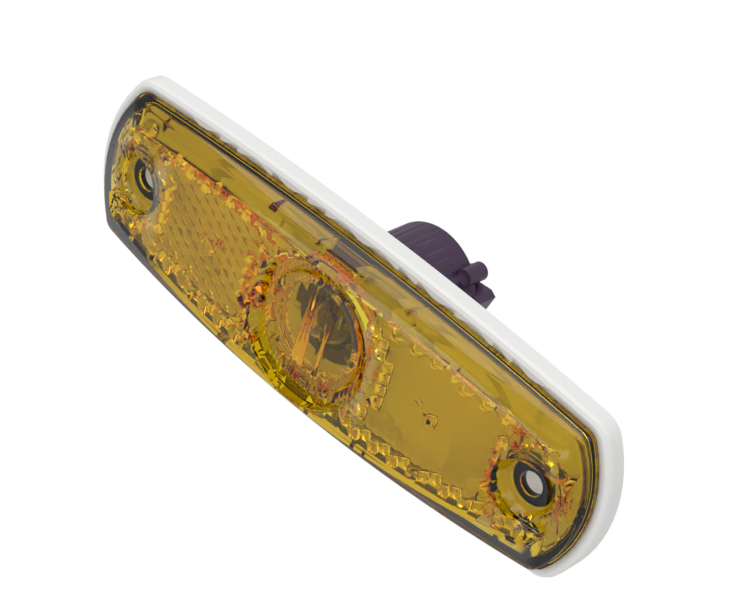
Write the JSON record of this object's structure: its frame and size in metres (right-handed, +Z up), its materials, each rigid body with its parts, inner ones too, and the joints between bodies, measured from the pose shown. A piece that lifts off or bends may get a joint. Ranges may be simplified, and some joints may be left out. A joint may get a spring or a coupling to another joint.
{
  "type": "side marker lamp",
  "caption": "Long curved side marker lamp with an amber reflex lens, a round window, a white moulded base and a twist-in bulb holder.",
  "frame": {"origin": "middle of the line between the two screw holes, on the base's rear mounting face", "axes": "+X along the lamp's length, +Y out of the back of the lamp towards the vehicle, +Z up across the lamp; the lens faces -Y"},
  "size_m": [0.1244, 0.0402, 0.0398],
  "materials": {
    "lens_plastic": "clear amber, moulded with prisms behind a smooth face",
    "base_plastic": "white, smooth and slightly soft",
    "holder_plastic": "dark purple-black, satin",
    "seal_rubber": "matte",
    "contact_brass": "plain strip",
    "bulb_glass": "clear",
    "wire_metal": "drawn wire"
  },
  "bodies": {
    "lamp": {"base": "base_plastic", "lens": "lens_plastic", "lens_seal": "seal_rubber"},
    "holder": {"bulb_holder": "holder_plastic", "holder_seal": "seal_rubber", "contact_left": "contact_brass", "contact_right": "contact_brass", "bulb_glass": "bulb_glass", "bulb_filament": "wire_metal", "bulb_bead": "bulb_glass", "lead_left": "wire_metal", "lead_right": "wire_metal"}
  },
  "joints": [
    {"name": "holder_twist_lock", "type": "hinge", "parent": "lamp", "child": "holder", "pos_m": [0, 0, 0], "axis": [0, 1, 0], "range_deg": [0, 45]}
  ]
}
